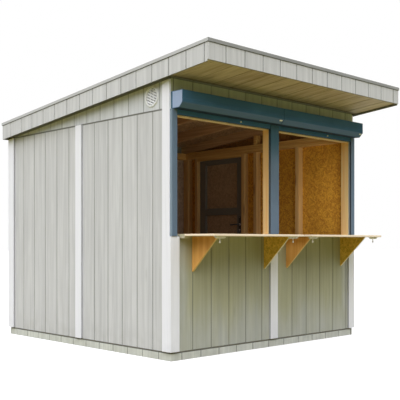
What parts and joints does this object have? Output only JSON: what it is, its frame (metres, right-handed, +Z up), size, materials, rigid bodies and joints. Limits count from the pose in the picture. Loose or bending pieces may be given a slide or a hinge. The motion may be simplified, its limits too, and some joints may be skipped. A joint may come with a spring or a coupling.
{
  "type": "wooden market hut",
  "caption": "Timber-framed market kiosk with a single-slope roof, grooved siding, serving hatches under raised roller shutters, counters on brackets and a hinged side door.",
  "frame": {"origin": "on the ground under the middle of the floor plan, on the middle floor bearer's underside", "axes": "+Z up, the serving front faces -Y, +X to the right as seen from the front"},
  "size_m": [2.52, 3.067, 2.4205],
  "materials": {
    "frame_timber": "planed softwood",
    "deck_board": "strand board",
    "siding": "grooved sheet, pale grey paint",
    "white_board": "white paint",
    "soffit_board": "grooved sheet, unpainted",
    "roof_covering": "matt membrane",
    "edge_metal": "satin grey",
    "vent_plastic": "matt white",
    "shutter_metal": "satin anthracite",
    "rail_metal": "satin blue grey",
    "counter_wood": "varnished board",
    "bracket_wood": "oiled board",
    "bolt_steel": "zinc plated",
    "door_framing": "matt near-black",
    "hinge_metal": "matt black"
  },
  "bodies": {
    "hut": {"floor_bearers": "frame_timber", "floor_deck": "deck_board", "plinth_boards": "siding", "wall_plates": "frame_timber", "wall_studs": "frame_timber", "front_posts": "frame_timber", "front_rails": "frame_timber", "rafters": "frame_timber", "front_wall_panels": "siding", "front_jamb_panels": "siding", "front_head_panel": "siding", "left_wall_panels": "siding", "right_wall_panel": "siding", "door_side_panels": "siding", "door_head_panel": "siding", "gable_panels": "siding", "back_wall_panels": "siding", "side_corner_boards": "white_board", "end_corner_boards": "white_board", "joint_boards": "white_board", "door_casing": "white_board", "soffit_panel": "soffit_board", "roof_deck": "deck_board", "roof_covering": "roof_covering", "front_fascia": "siding", "side_fascias": "siding", "back_fascia": "siding", "roof_edge": "edge_metal", "gable_vents": "vent_plastic", "left_shutter_box": "shutter_metal", "right_shutter_box": "shutter_metal", "shutter_end_caps": "shutter_metal", "shutter_curtains": "rail_metal", "guide_rails": "rail_metal", "left_counter": "counter_wood", "right_counter": "counter_wood", "counter_brackets": "bracket_wood", "counter_bolts": "bolt_steel", "hinge_hooks": "hinge_metal"},
    "door": {"door_panel": "siding", "door_boards": "white_board", "door_ledges": "door_framing", "door_handle": "bolt_steel", "hinge_straps": "hinge_metal"}
  },
  "joints": [
    {"name": "door_swing", "type": "hinge", "parent": "hut", "child": "door", "pos_m": [1.213, 0.9615, 1], "axis": [0, 0, 1], "range_deg": [0, 100]}
  ]
}
